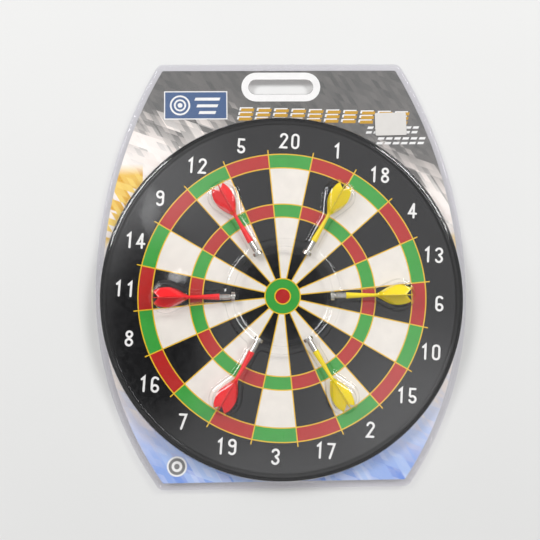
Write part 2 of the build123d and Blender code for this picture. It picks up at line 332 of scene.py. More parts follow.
def srgb(red, green, blue):
    """Linear colour from 0 to 255 display values."""
    def linear(value):
        value /= 255
        return value / 12.92 if value <= 0.04045 else ((value + 0.055) / 1.055) ** 2.4
    return linear(red), linear(green), linear(blue), 1.0


class Nodes:
    """A node tree with short ways to add to it."""

    def __init__(self, owner, output):
        owner.use_nodes = True
        self.tree = owner.node_tree
        self.tree.nodes.clear()
        self.out = self.node(output)

    def node(self, kind, inputs=None, **settings):
        """Adds a node, sets its settings, and links or sets its inputs."""
        made = self.tree.nodes.new(kind)
        for name, value in settings.items():
            setattr(made, name, value)
        for key, value in (inputs or {}).items():
            if isinstance(value, bpy.types.NodeSocket):
                self.tree.links.new(value, made.inputs[key])
            else:
                made.inputs[key].default_value = value
        return made

    def maths(self, operation, a, b=0.0, c=0.0):
        return self.node("ShaderNodeMath", {0: a, 1: b, 2: c}, operation=operation).outputs[0]

    def place(self):
        return self.node("ShaderNodeTexCoord").outputs["Object"]

    def times(self, a, b):
        return self.maths("MULTIPLY", a, b)

    def noise(self, scale, detail=3.0, rough=0.5, vector=None):
        """Fractal noise from 0 to 1, with a scale in features a metre."""
        inputs = {"Vector": vector or self.place(), "Scale": scale, "Detail": detail, "Roughness": rough}
        return self.node("ShaderNodeTexNoise", inputs).outputs["Fac"]

    def span(self, value, low, high, to_low=0.0, to_high=1.0, smooth_step=False):
        """Maps a value from one span to another, clamped."""
        made = self.node("ShaderNodeMapRange", {0: value, 1: low, 2: high, 3: to_low, 4: to_high})
        made.interpolation_type = "SMOOTHSTEP" if smooth_step else "LINEAR"
        return made.outputs[0]

    def band(self, value, middle, half_width, fade_end, level=1.0):
        """A level near a middle value that fades to 0 further off."""
        away = self.maths("ABSOLUTE", self.maths("SUBTRACT", value, middle))
        return self.span(away, half_width, fade_end, level, 0.0)

    def mix(self, share, a, b):
        return self.node("ShaderNodeMix", {0: share, 6: a, 7: b}, data_type="RGBA").outputs[2]

    def bump(self, height, strength, distance, normal=None):
        inputs = {"Height": height, "Strength": strength, "Distance": distance}
        if normal is not None:
            inputs["Normal"] = normal
        return self.node("ShaderNodeBump", inputs).outputs["Normal"]

    def surface(self, shader):
        self.tree.links.new(shader, self.out.inputs["Surface"])


class Look(Nodes):
    """One material."""

    def __init__(self, name):
        self.material = bpy.data.materials.new(name)
        super().__init__(self.material, "ShaderNodeOutputMaterial")

    def surface(self, shader):
        super().surface(shader)
        return self.material

    def principled(self, **inputs):
        named = {key.replace("_", " "): value for key, value in inputs.items()}
        shader = self.node("ShaderNodeBsdfPrincipled", named)
        return self.surface(shader.outputs[0])


def shade(color, factor):
    """A colour made lighter or darker."""
    return tuple(min(1.0, channel * factor) for channel in color[:3]) + (1.0,)


# ---- Materials ----


def printed_ink(name, color, gloss=0.13, sheen=0.75):
    """Offset ink under a gloss varnish: faint mottle, fine grain and a barely uneven sheen."""
    look = Look(name)
    mottle = look.span(look.noise(90, 4), 0.3, 0.7)
    grain = look.span(look.noise(2600, 2), 0.35, 0.65)
    tone = look.mix(mottle, shade(color, 0.95), shade(color, 1.03))
    tone = look.mix(look.times(grain, 0.25), tone, shade(color, 0.9))
    rough = look.span(look.noise(240, 3), 0.3, 0.7, gloss - 0.05, gloss + 0.06)
    normal = look.bump(look.noise(420, 3), 0.05, 0.0002)
    return look.principled(Base_Color=tone, Roughness=rough, Normal=normal, Specular_IOR_Level=sheen)


def moulded_plastic(name, color, rough_low, rough_high, depth=1.0, glow=0.0):
    """Injection-moulded plastic: faint flow marks, orange peel and small rubbed patches."""
    look = Look(name)
    flow = look.span(look.noise(35, 3, 0.6), 0.3, 0.7)
    tone = look.mix(flow, shade(color, 0.92), shade(color, 1.05))
    worn = look.span(look.noise(160, 5, 0.7), 0.55, 0.75)
    rough = look.span(worn, 0.0, 1.0, rough_low, rough_high)
    peel = look.bump(look.noise(700, 2), 0.08 * depth, 0.0003)
    fine = look.bump(look.noise(5200, 2), 0.05 * depth, 0.0001, peel)
    return look.principled(
        Base_Color=tone, Roughness=rough, Normal=fine, Subsurface_Weight=glow,
        Subsurface_Radius=(0.004, 0.002, 0.001), Subsurface_Scale=0.3,
    )


def metal(name, color, rough_low, rough_high):
    """Plated or bare metal with fine turning marks and uneven polish."""
    look = Look(name)
    stretch = look.node("ShaderNodeMapping", {"Vector": look.place(), "Scale": (1.0, 6.0, 1.0)}).outputs[0]
    lines = look.noise(900, 4, 0.6, stretch)
    cloud = look.noise(120, 4, 0.6)
    tone = look.mix(look.span(cloud, 0.3, 0.7), shade(color, 0.9), shade(color, 1.04))
    rough = look.span(cloud, 0.3, 0.7, rough_low, rough_high)
    normal = look.bump(lines, 0.05, 0.0001)
    return look.principled(Base_Color=tone, Metallic=1.0, Roughness=rough, Normal=normal)


def clear_plastic(name, tint, haze):
    """A clear formed sheet: it lets light straight through and mirrors more towards its edges."""
    look = Look(name)
    wave = look.bump(look.noise(45, 2), 0.06, 0.001)
    scuff = look.span(look.noise(900, 4, 0.7), 0.6, 0.8)
    facing = look.node("ShaderNodeLayerWeight", {"Blend": 0.5, "Normal": wave}).outputs["Facing"]
    steep = look.maths("POWER", facing, 5.0)
    mirrored = look.maths("MULTIPLY_ADD", steep, 0.9, haze)
    through = look.node("ShaderNodeBsdfTransparent", {"Color": tint}).outputs[0]
    rough = look.span(scuff, 0.0, 1.0, 0.02, 0.1)
    gloss = look.node("ShaderNodeBsdfGlossy", {"Roughness": rough, "Normal": wave}).outputs[0]
    mixed = look.node("ShaderNodeMixShader", {0: mirrored, 1: through, 2: gloss}).outputs[0]
    return look.surface(mixed)


def paper(name, color):
    """Uncoated paper with short fibres."""
    look = Look(name)
    fibres = look.noise(3000, 5, 0.7)
    cloud = look.span(look.noise(120, 3), 0.3, 0.7)
    tone = look.mix(cloud, shade(color, 0.97), shade(color, 1.01))
    tone = look.mix(look.times(look.span(fibres, 0.5, 0.7), 0.3), tone, shade(color, 0.93))
    normal = look.bump(fibres, 0.04, 0.0002)
    return look.principled(Base_Color=tone, Roughness=0.75, Normal=normal)


def foam(name):
    """Closed-cell foam, seen only where the board is opened."""
    look = Look(name)
    cells = look.node("ShaderNodeTexVoronoi", {"Vector": look.place(), "Scale": 900.0}).outputs["Distance"]
    tone = look.mix(look.span(cells, 0.1, 0.7), srgb(205, 205, 200), srgb(240, 240, 236))
    return look.principled(Base_Color=tone, Roughness=0.9, Normal=look.bump(cells, 0.4, 0.0004))


def hardboard(name):
    """Brown pressed fibre board."""
    look = Look(name)
    fibres = look.noise(1400, 6, 0.75)
    tone = look.mix(look.span(fibres, 0.35, 0.65), srgb(92, 62, 40), srgb(146, 106, 72))
    return look.principled(Base_Color=tone, Roughness=0.7, Normal=look.bump(fibres, 0.2, 0.0003))


def facets(look, across, up, size, lean):
    """A random value from 0 to 1 for each cell of a slanted mosaic of parallelograms."""
    slanted = look.maths("MULTIPLY_ADD", up, lean, across)
    column = look.maths("FLOOR", look.maths("DIVIDE", slanted, size))
    row = look.maths("FLOOR", look.maths("DIVIDE", look.maths("MULTIPLY_ADD", across, 0.35, up), size * 1.3))
    cell = look.node("ShaderNodeCombineXYZ", {0: column, 1: row}).outputs[0]
    return look.node("ShaderNodeTexWhiteNoise", {"Vector": cell}, noise_dimensions="2D").outputs["Value"]


def card_print():
    """The card's print: a grey head that breaks up into slanted facets over pale ground, blue facets at the
    foot and a few yellow ones at the sides, with plain white board behind."""
    look = Look("card_print")
    apart = look.node("ShaderNodeSeparateXYZ", {0: look.place()})
    across, up = apart.outputs[0], apart.outputs[2]
    coarse = facets(look, across, up, 0.012, 0.6)
    fine = facets(look, across, up, 0.0055, 0.6)
    jitter = look.maths("MULTIPLY_ADD", coarse, 0.6, look.times(fine, 0.4))
    pale = look.mix(fine, srgb(246, 236, 228), srgb(254, 248, 241))

    head = look.maths("MULTIPLY_ADD", jitter, 0.07, look.maths("MULTIPLY_ADD", across, 0.2, up))
    grey = look.mix(fine, srgb(96, 96, 94), srgb(118, 116, 113))
    tone = look.mix(look.span(head, 0.168, 0.215), pale, grey)

    left = look.maths("LESS_THAN", across, -0.148)
    beside = look.times(look.band(up, 0.098, 0.034, 0.046), left)
    yellow = look.times(beside, look.maths("GREATER_THAN", jitter, 0.3))
    tone = look.mix(yellow, tone, look.mix(fine, srgb(226, 168, 20), srgb(246, 212, 104)))
    right = look.span(across, 0.168, 0.174)
    beside = look.times(look.band(up, 0.056, 0.006, 0.012, 0.7), right)
    tone = look.mix(beside, tone, srgb(244, 206, 110))

    foot = look.maths("MULTIPLY_ADD", jitter, 0.07, look.times(up, -1.0))
    blue = look.mix(coarse, srgb(92, 138, 222), srgb(180, 202, 240))
    blue = look.mix(look.span(fine, 0.6, 0.9, 0.0, 0.5), blue, srgb(214, 220, 242))
    tone = look.mix(look.span(foot, 0.125, 0.21), tone, blue)

    facing = look.node("ShaderNodeSeparateXYZ", {0: look.node("ShaderNodeTexCoord").outputs["Normal"]})
    printed = look.maths("LESS_THAN", facing.outputs[1], -0.5)
    fibres = look.noise(2500, 4, 0.7)
    board = look.mix(look.span(fibres, 0.35, 0.65), srgb(214, 210, 202), srgb(232, 229, 222))
    tone = look.mix(printed, board, tone)
    rough = look.span(printed, 0.0, 1.0, 0.7, 0.32)
    normal = look.bump(look.noise(300, 3), 0.06, 0.0003)
    return look.principled(Base_Color=tone, Roughness=rough, Normal=normal, Specular_IOR_Level=0.35)


def backdrop_look():
    """A pale matt wall that only shows its front."""
    look = Look("backdrop")
    tone = look.mix(look.noise(6, 2), srgb(217, 217, 216), srgb(220, 220, 219))
    matt = look.node("ShaderNodeBsdfDiffuse", {"Color": tone}).outputs[0]
    through = look.node("ShaderNodeBsdfTransparent").outputs[0]
    behind = look.node("ShaderNodeNewGeometry").outputs["Backfacing"]
    return look.surface(look.node("ShaderNodeMixShader", {0: behind, 1: matt, 2: through}).outputs[0])


# ---- The printed face ----


def bed(shape, sector, inner, outer, steps=12):
    """One bed of the face: the part of a ring that lies in one sector."""
    angles = [(sector - 0.5 + k / steps) * SECTOR for k in range(steps + 1)]
    inside = [polar(inner, a) for a in angles]
    outside = [polar(outer, a) for a in angles]
    shape.strip(inside, outside, FACE, FACE + INK)


def printed_beds():
    """Cream, green and red beds, bull included."""
    cream, green, red = Shape(on_board), Shape(on_board), Shape(on_board)
    for sector in range(len(NUMBERS)):
        pale = sector % 2 == 0
        if pale:
            bed(cream, sector, BULL_OUTER, TREBLE_INNER)
            bed(cream, sector, TREBLE_OUTER, DOUBLE_INNER)
        scoring = green if pale else red
        bed(scoring, sector, TREBLE_INNER, TREBLE_OUTER)
        bed(scoring, sector, DOUBLE_INNER, DOUBLE_OUTER)
    green.ring((0, 0), (BULL_INNER + BULL_OUTER) / 2, BULL_OUTER - BULL_INNER, FACE, FACE + INK)
    red.prism([polar(BULL_INNER, math.tau * k / 90) for k in range(90)], FACE, FACE + INK)
    return {
        "cream_beds": (cream, printed_ink("cream_ink", srgb(242, 236, 226))),
        "green_beds": (green, printed_ink("green_ink", srgb(63, 165, 65))),
        "red_beds": (red, printed_ink("red_ink", srgb(188, 42, 38))),
    }


def gold_lines():
    """The gold lines round the beds and between the sectors, with a short tick past the doubles."""
    gold = Shape(on_board)
    for radius in (BULL_INNER, BULL_OUTER, TREBLE_INNER, TREBLE_OUTER, DOUBLE_INNER, DOUBLE_OUTER):
        gold.ring((0, 0), radius, LINE_WIDTH, FACE, FACE + LINE_INK)
    for sector in range(len(NUMBERS)):
        angle = (sector + 0.5) * SECTOR
        aside = Vector(polar(LINE_WIDTH / 2, angle + math.pi / 2))
        ends = [Vector(polar(radius, angle)) for radius in (BULL_OUTER, TICK_END)]
        rails = [[tuple(end + side * aside) for end in ends] for side in (-1, 1)]
        gold.strip(*rails, FACE, FACE + LINE_INK + OVERLAP)
    return gold


def digit_strokes(digit):
    """The pen's path for one digit, as a list of strokes about the digit's middle."""
    half = (DIGIT_WIDTH - DIGIT_STROKE) / 2
    top = (DIGIT_HEIGHT - DIGIT_STROKE) / 2
    bowl = top - half
    stem = 0.4 * half
    bar = -0.42 * top
    waist = (0.05 * half, 0.35)
    small = 0.88 * half
    strokes = {
        0: [arc((0, bowl), half, 0, 180, 14) + arc((0, -bowl), half, 180, 360, 14) + [(half, bowl)]],
        1: [[(-0.55 * half, top - 0.75 * half), (0.25 * half, top), (0.25 * half, -top)]],
        2: [arc((0, bowl), half, 170, -25, 14) + [(-half, -top), (half, -top)]],
        3: [arc((0, bowl), half, 160, -70, 14) + [waist], [waist] + arc((0, -bowl), half, 70, -160, 14)],
        4: [[(1.15 * half, bar), (-1.1 * half, bar), (stem, top)], [(stem, top), (stem, -top)]],
        5: [
            [(0.85 * half, top), (-0.8 * half, top), (-0.9 * half, 0.4)]
            + arc((0, 0.4 - bowl), half, 120, -160, 16)
        ],
        6: [arc((0, bowl), half, 35, 180, 12) + [(-half, -bowl)], arc((0, -bowl), half, 0, 360, 28)],
        7: [[(-half, top), (half, top), (-0.35 * half, -top)]],
        8: [arc((0, top - small), small, -90, 270, 24), arc((0, half - top), half, 90, 450, 24)],
    }
    if digit == 9:
        return [[(-x, -y) for x, y in stroke] for stroke in strokes[6]]
    return strokes[digit]


def pen(shape, stroke, centre, back, front):
    """Draws a stroke with a round-tipped pen as a flat solid band."""
    path = [Vector(p) for p in stroke]
    closed = (path[0] - path[-1]).length < 1e-6
    if closed:
        path.pop()
    count = len(path)
    half = DIGIT_STROKE / 2
    tip_turns = [math.radians(a) for a in (25, 50, 70, 85)]
    left, right = [], []

    def rails(point, along, reach):
        across = Vector((-along.y, along.x)) * reach
        left.append(tuple(centre + point + across))
        right.append(tuple(centre + point - across))

    def tip(point, along, turns):
        for turn in turns:
            rails(point + along * half * math.sin(turn), along, half * math.cos(turn))

    if not closed:
        tip(path[0], (path[1] - path[0]).normalized(), [-turn for turn in reversed(tip_turns)])
    for i, point in enumerate(path):
        into = (point - path[i - 1]).normalized() if closed or i else None
        away = (path[(i + 1) % count] - point).normalized() if closed or i < count - 1 else None
        into, away = into or away, away or into
        along = (into + away).normalized()
        rails(point, along, half / max(0.35, along.dot(into)))
    if not closed:
        tip(path[-1], (path[-1] - path[-2]).normalized(), tip_turns)
    shape.strip(left, right, back, front, closed=closed)


def number_print():
    """The numbers round the face, all upright on the board."""
    white = Shape(on_board)
    for sector, number in enumerate(NUMBERS):
        middle = Vector(polar(NUMBER_RADIUS, sector * SECTOR + NUMBER_TURN))
        digits = [int(d) for d in str(number)]
        for place_in_row, digit in enumerate(digits):
            aside = (place_in_row - (len(digits) - 1) / 2) * DIGIT_PITCH
            for order, stroke in enumerate(digit_strokes(digit)):
                front = FACE + INK + OVERLAP * order
                pen(white, stroke, middle + Vector((aside, 0)), FACE, front)
    return white


def print_face():
    """Everything printed on the face rides on the board, over the black film."""
    for name, (shape, material) in printed_beds().items():
        finish_piece(shape.object(name), "board", "printed_face", material)
    gold = printed_ink("gold_ink", srgb(240, 194, 46))
    finish_piece(gold_lines().object("gold_lines"), "board", "printed_face", gold)
    white = printed_ink("white_ink", srgb(248, 247, 243))
    finish_piece(number_print().object("number_print"), "board", "printed_face", white)


# ---- The card's print ----


def rounded_box(centre, width, height, radius, steps=6):
    """Outline of a rounded rectangle, anticlockwise."""
    outline = []
    for right, up, start in ((1, 1, 0), (-1, 1, 90), (-1, -1, 180), (1, -1, 270)):
        corner = (centre[0] + right * (width / 2 - radius), centre[1] + up * (height / 2 - radius))
        outline += arc(corner, radius, start, start + 90, steps)
    return outline


def slanted_bar(left, bottom, width, height, lean):
    top = bottom + height
    return [(left, bottom), (left + width, bottom), (left + width + lean, top), (left + lean, top)]


def turned(outline, degrees):
    """An outline turned anticlockwise about the bull."""
    cos_turn, sin_turn = math.cos(math.radians(degrees)), math.sin(math.radians(degrees))
    return [(x * cos_turn - y * sin_turn, x * sin_turn + y * cos_turn) for x, y in outline]


def on_card(shape, outline, layer):
    """A mark on the card, in the given layer of ink."""
    shape.prism(outline, CARD_FRONT, CARD_FRONT + layer * INK)


def slot_border(white):
    """The white border round the hang slot."""
    inside = rounded_box(SLOT_CENTRE, SLOT_LENGTH + 0.6, SLOT_HEIGHT + 0.6, SLOT_HEIGHT / 2)
    length, height = SLOT_LENGTH + 2 * SLOT_BORDER, SLOT_HEIGHT + 2 * SLOT_BORDER
    outside = rounded_box(SLOT_CENTRE, length, height, height / 2)
    white.strip(inside, outside, CARD_FRONT, CARD_FRONT + INK, closed=True)


def title_panel(white, slate):
    """A framed panel with a simple round target and three bars."""
    width, height = PANEL_SIZE
    on_card(white, rounded_box(PANEL_CENTRE, width, height, 0.6), 1)
    on_card(slate, rounded_box(PANEL_CENTRE, width - 2.4, height - 2.4, 0.4), 2)
    target = (PANEL_CENTRE[0] - 17.0, PANEL_CENTRE[1])
    for radius in (10.05, 5.65):
        white.ring(target, radius, 1.9, CARD_FRONT, CARD_FRONT + 3 * INK, 60)
    on_card(white, circle_loop(2.6, 60, target), 3)
    left, bottom = PANEL_CENTRE[0] - 1.5, PANEL_CENTRE[1] + 5.2
    for row in range(3):
        on_card(white, slanted_bar(left + 2.2 * row, bottom - 7.4 * row, 27.0 - 4.5 * row, 3.2, 1.2), 3)


def title_band(white, gold):
    """Groups of three gold bars, each with a white one behind it."""
    for k in range(10):
        left = BAND_LEFT + k * BAND_STEP
        bottom = BAND_BOTTOM - BAND_FALL * k * BAND_STEP
        for row in BAR_ROWS:
            bar = slanted_bar(left + 0.25 * row, bottom + row, BAND_STEP - 4.6, BAR_HEIGHT, 0.9)
            on_card(white, [(x - 1.6, y + 1.3) for x, y in bar], 1)
            on_card(gold, bar, 2)


def title_rows(white):
    """Two rows of slanted bars, each bar doubled."""
    for left, right, bottom, bars in TITLE_ROWS:
        pitch = (right - left) / bars
        for k in range(bars):
            for line in range(2):
                start = left + k * pitch + 1.8 * line
                on_card(white, slanted_bar(start, bottom + 5.2 * line, pitch * 0.74, 2.6, 1.3), 1)


def foot_mark(white, grey):
    """A round mark of discs laid one on another."""
    for layer, (shape, radius) in enumerate(((white, 10.5), (grey, 8.6), (white, 5.6), (grey, 2.8)), 1):
        on_card(shape, circle_loop(radius, 60, FOOT_MARK), layer)


def print_card():
    """Plain marks in the places and colours of the card's own titles."""
    white, slate, gold, grey = Shape(), Shape(), Shape(), Shape()
    slot_border(white)
    title_panel(white, slate)
    title_band(white, gold)
    title_rows(white)
    foot_mark(white, grey)
    pieces = {
        "card_white_print": (white, srgb(244, 243, 240)),
        "card_slate_print": (slate, srgb(70, 98, 140)),
        "card_gold_print": (gold, srgb(206, 158, 42)),
        "card_grey_print": (grey, srgb(128, 128, 126)),
    }
    for name, (shape, color) in pieces.items():
        material = printed_ink(name.replace("print", "ink"), color, 0.34, 0.3)
        finish_piece(shape.object(name), "pack_back", "printed_card", material)


# ---- The formed front sheet ----


def pack_outline(spacing=2.0):
    """The pack's outline, anticlockwise, with each side as two arcs that run upright at the widest point."""
    widest = (PACK_HIGH.x - PACK_LOW.x) / 2

    def side_arc(end_half_width, end_up):
        """Arc from the widest point, where it runs upright, to an end of the side."""
        fall = widest - end_half_width
        rise = end_up - PACK_WIDEST
        radius = (fall * fall + rise * rise) / (2 * fall)
        sweep = math.degrees(math.asin(abs(rise) / radius))
        steps = max(2, round(math.radians(sweep) * radius / spacing))
        sign = 1 if rise > 0 else -1
        return arc((widest - radius, PACK_WIDEST), radius, 0, sign * sweep, steps)

    upper = side_arc(TOP_HALF_WIDTH, PACK_HIGH.z)
    lower = side_arc(BOTTOM_HALF_WIDTH, PACK_LOW.z)
    right = lower[:0:-1] + upper
    left = [(-x, y) for x, y in reversed(right)]
    return rounded_corners(right + left, PACK_CORNER, spacing)


def rounded_corners(outline, radius, spacing):
    """Rounds the sharp corners of a closed outline with arcs, and evens out its points."""
    loop = [Vector(p) for p in outline]
    count = len(loop)
    lengths = np.cumsum([0] + [(loop[(i + 1) % count] - loop[i]).length for i in range(count)])
    total = lengths[-1]
    coords = np.array([tuple(p) for p in loop] + [tuple(loop[0])])

    def at(distance):
        distance %= total
        return Vector([np.interp(distance, lengths, coords[:, k]) for k in (0, 1)])

    corners = []
    for i in range(count):
        into = (loop[i] - loop[i - 1]).normalized()
        away = (loop[(i + 1) % count] - loop[i]).normalized()
        turn = math.acos(max(-1.0, min(1.0, into.dot(away))))
        if turn > math.radians(20):
            corners.append((lengths[i], into, away, turn))
    result = []
    for k, (distance, into, away, turn) in enumerate(corners):
        reach = radius * math.tan(turn / 2)
        start = at(distance - reach)
        inward = Vector((-into.y, into.x))
        centre = start + inward * radius
        first = math.degrees(math.atan2(-inward.y, -inward.x))
        result += arc(centre, radius, first, first + math.degrees(turn), 8)
        next_distance, _, _, next_turn = corners[(k + 1) % len(corners)]
        end = next_distance + (total if next_distance <= distance else 0) - radius * math.tan(next_turn / 2)
        begin = distance + reach
        steps = max(2, round((end - begin) / spacing))
        result += [tuple(at(begin + (end - begin) * s / steps)) for s in range(1, steps)]
    return result


def offset_loop(loop, inset):
    """A closed anticlockwise loop moved inward along its normals."""
    points = np.array(loop)
    along = np.roll(points, -1, 0) - np.roll(points, 1, 0)
    along /= np.linalg.norm(along, axis=1)[:, None]
    inward = np.stack([-along[:, 1], along[:, 0]], 1)
    return [tuple(p) for p in points + inward * inset]


def even_loop(loop, spacing, softness):
    """Evens out a closed loop's points and rounds its corners by a running average."""
    points = np.array(loop + loop[:1])
    lengths = np.concatenate([[0], np.cumsum(np.linalg.norm(np.diff(points, axis=0), axis=1))])
    count = round(lengths[-1] / spacing)
    stations = np.linspace(0, lengths[-1], count, endpoint=False)
    even = np.stack([np.interp(stations, lengths, points[:, k]) for k in (0, 1)], 1)
    for _ in range(softness):
        even = (np.roll(even, 1, 0) + 2 * even + np.roll(even, -1, 0)) / 4
    return [tuple(p) for p in even]


def wall(rise, draft, base_radius, top_radius, slope, steps):
    """A formed wall's section as (inset, rise) points: hollow fillet, straight wall, rounded shoulder.

    The slope is a flat stretch of the shoulder, tilted so that it catches the softboxes.
    """
    lean = math.radians(90 - draft)
    hollow = np.linspace(0, lean, steps + 1)
    base = [(base_radius * math.sin(a), base_radius * (1 - math.cos(a))) for a in hollow]
    straight = rise - (base_radius + top_radius) * (1 - math.cos(lean)) - slope * math.sin(SLOPE_TILT)
    shoulder = (base[-1][0] + straight / math.tan(lean), base[-1][1] + straight)
    top = [
        (
            shoulder[0] + top_radius * (math.sin(lean) - math.sin(a)) + run * math.cos(SLOPE_TILT),
            shoulder[1] + top_radius * (math.cos(a) - math.cos(lean)) + run * math.sin(SLOPE_TILT),
        )
        for run, start, end, count in ((0.0, lean, SLOPE_TILT, steps), (slope, SLOPE_TILT, 0, 3))
        for a in np.linspace(start, end, count)
    ]
    return base + top


def relief_outline():
    """The reliefs' outline: a ring with six pockets, each a channel that opens into a leaf."""
    side = math.degrees(math.asin(CHANNEL_HALF_WIDTH / RING_OUTER))
    flare = math.asin((LEAF_RADIUS - CHANNEL_HALF_WIDTH) / (BULB - THROAT))
    tangent = 90 + math.degrees(flare)
    slope_start = THROAT - CHANNEL_HALF_WIDTH * math.tan(flare / 2)
    pocket = arc((0, 0), RING_OUTER, -180 / DART_COUNT, -side, 16)
    pocket.append((slope_start, -CHANNEL_HALF_WIDTH))
    pocket += arc((BULB, 0), LEAF_RADIUS, -tangent, tangent, 40)
    pocket.append((slope_start, CHANNEL_HALF_WIDTH))
    pocket += arc((0, 0), RING_OUTER, side, 180 / DART_COUNT, 16)[:-1]
    outline = []
    for k in range(DART_COUNT):
        outline += turned(pocket, k * 360 / DART_COUNT)
    return even_loop(outline, 1.5, 5)


def leaf_outline(index, inset):
    """Outline of one leaf's tall part, round a small circle by the channel and a large one at the tail."""
    bulb_radius = LEAF_RADIUS - LEAF_INSET
    lean = 90 + math.degrees(math.asin((bulb_radius - LEAF_THROAT_RADIUS) / (BULB - LEAF_THROAT)))
    tail = arc((BULB, 0), bulb_radius - inset, -lean, lean, 36)
    neck = arc((LEAF_THROAT, 0), LEAF_THROAT_RADIUS - inset, lean, 360 - lean, 14)
    sides = []
    for start, end in ((tail[-1], neck[0]), (neck[-1], tail[0])):
        sides.append([tuple(Vector(start).lerp(Vector(end), s / 9)) for s in range(1, 9)])
    return turned(tail + sides[0] + neck + sides[1], index * 360 / DART_COUNT)


def inside_loop(points, loop):
    """Which points lie inside a closed loop, by counting crossings."""
    inside = np.zeros(len(points), bool)
    ends = np.array(loop)
    for (x1, y1), (x2, y2) in zip(ends, np.roll(ends, -1, 0)):
        crosses = (y1 > points[:, 1]) != (y2 > points[:, 1])
        with np.errstate(divide="ignore", invalid="ignore"):
            reach = (x2 - x1) * (points[:, 1] - y1) / (y2 - y1) + x1
        inside ^= crosses & (points[:, 0] < reach)
    return inside


class Sheet(Shape):
    """A formed sheet put together from contours that are lofted and flats that are filled."""

    def contour(self, loop, depth):
        return {"loop": loop, "numbers": self.add([(*p, depth) for p in loop])}

    def loft(self, a, b):
        count = len(a["numbers"])
        for i in range(count):
            j = (i + 1) % count
            self.faces.append([a["numbers"][i], a["numbers"][j], b["numbers"][j], b["numbers"][i]])

    def rise(self, start, section, depth, follow):
        """Lofts from a contour through a section's (inset, rise) points; follow(inset) gives each loop."""
        last = start
        for inset, rise in section:
            following = self.contour(follow(inset), depth + rise)
            self.loft(last, following)
            last = following
        return last

    def fill(self, outer, *holes):
        """Triangles between an outer contour and the holes in it."""
        loops = [outer, *holes]
        points = [Vector(p) for c in loops for p in c["loop"]]
        numbers = [n for c in loops for n in c["numbers"]]
        edges, first = [], 0
        for c in loops:
            count = len(c["loop"])
            edges += [(first + i, first + (i + 1) % count) for i in range(count)]
            first += count
        made, _, triangles, origin, _, _ = delaunay_2d_cdt(points, edges, [], 0, 1e-7)
        coords = np.array([tuple(p) for p in made])
        triangles = np.array(triangles)
        middles = coords[triangles].mean(axis=1)
        a, b, c = (coords[triangles[:, k]] for k in range(3))
        area = abs((b[:, 0] - a[:, 0]) * (c[:, 1] - a[:, 1]) - (b[:, 1] - a[:, 1]) * (c[:, 0] - a[:, 0])) / 2
        keep = inside_loop(middles, outer["loop"]) & (area > FLAT)
        for hole in holes:
            keep &= ~inside_loop(middles, hole["loop"])
        for triangle in triangles[keep]:
            self.faces.append([numbers[origin[corner][0]] for corner in triangle])


def raise_pockets(sheet):
    """The outer wall of the ring and the pockets, up from the dome's top; returns its foot and its top."""
    outline = relief_outline()
    base = sheet.contour(offset_loop(outline, -RELIEF_SPREAD), DOME_TOP)
    section = wall(CHANNEL_TOP - DOME_TOP, 6, 1.2, 1.4, 0.8, 6)
    top = sheet.rise(base, section[1:], DOME_TOP, lambda inset: offset_loop(outline, inset - RELIEF_SPREAD))
    return base, top


def raise_ring(sheet):
    """The ring's inner wall, in two steps up from the flat middle."""
    steps = 180

    def follow(inset):
        return circle_loop(RING_INNER + inset, steps)[::-1]

    centre = sheet.contour(follow(0), DOME_TOP)
    sheet.fill(centre)
    low = wall(RING_STEP, 5, 1.0, 0.8, 0.8, 5)
    high = wall(CHANNEL_TOP - DOME_TOP - RING_STEP, 5, 1.2, 1.4, 0.9, 6)
    ledge = low[-1][0] + 1.2
    step = sheet.rise(centre, low[1:], DOME_TOP, follow)
    return sheet.rise(step, high, DOME_TOP + RING_STEP, lambda inset: follow(ledge + inset))


def raise_leaf(sheet, index):
    """One pocket's tall part, over a dart's fins; returns its foot's contour."""
    foot = sheet.contour(leaf_outline(index, 0), CHANNEL_TOP)
    section = wall(LEAF_TOP - CHANNEL_TOP, 11, 1.0, 2.2, 0.9, 7)
    sheet.fill(sheet.rise(foot, section[1:], CHANNEL_TOP, lambda inset: leaf_outline(index, inset)))
    return foot


def formed_sheet():
    """The clear front sheet: flange with its bead, dome over the board, stepped ring and six dart pockets."""
    sheet = Sheet()
    outline = pack_outline()
    edge = sheet.contour(outline, SHELL_FRONT)
    bead = [(BEAD_START, 0.0)]
    bead += [
        (BEAD_START + BEAD_WIDTH * (0.5 - 0.5 * math.cos(a)), BEAD_HEIGHT * math.sin(a))
        for a in np.radians(np.linspace(12, 168, 9))
    ]
    bead.append((BEAD_START + BEAD_WIDTH, 0.0))
    flange = sheet.rise(edge, bead, SHELL_FRONT, lambda inset: offset_loop(outline, inset))

    slot = sheet.contour(rounded_box(SLOT_CENTRE, SLOT_LENGTH, SLOT_HEIGHT, SLOT_HEIGHT / 2, 10), SHELL_FRONT)
    fillet, around = 1.0, 360
    start = DOME_RADIUS + fillet
    foot = sheet.contour(circle_loop(start, around), SHELL_FRONT)
    sheet.fill(flange, slot, foot)
    section = wall(DOME_TOP - SHELL_FRONT, 0.5, fillet, 6.0, 0.3, 12)
    dome = sheet.rise(foot, section[1:], SHELL_FRONT, lambda inset: circle_loop(start - inset, around))

    base, top = raise_pockets(sheet)
    sheet.fill(dome, base)
    ring_top = raise_ring(sheet)
    leaves = [raise_leaf(sheet, index) for index in range(DART_COUNT)]
    sheet.fill(top, ring_top, *leaves)
    return sheet


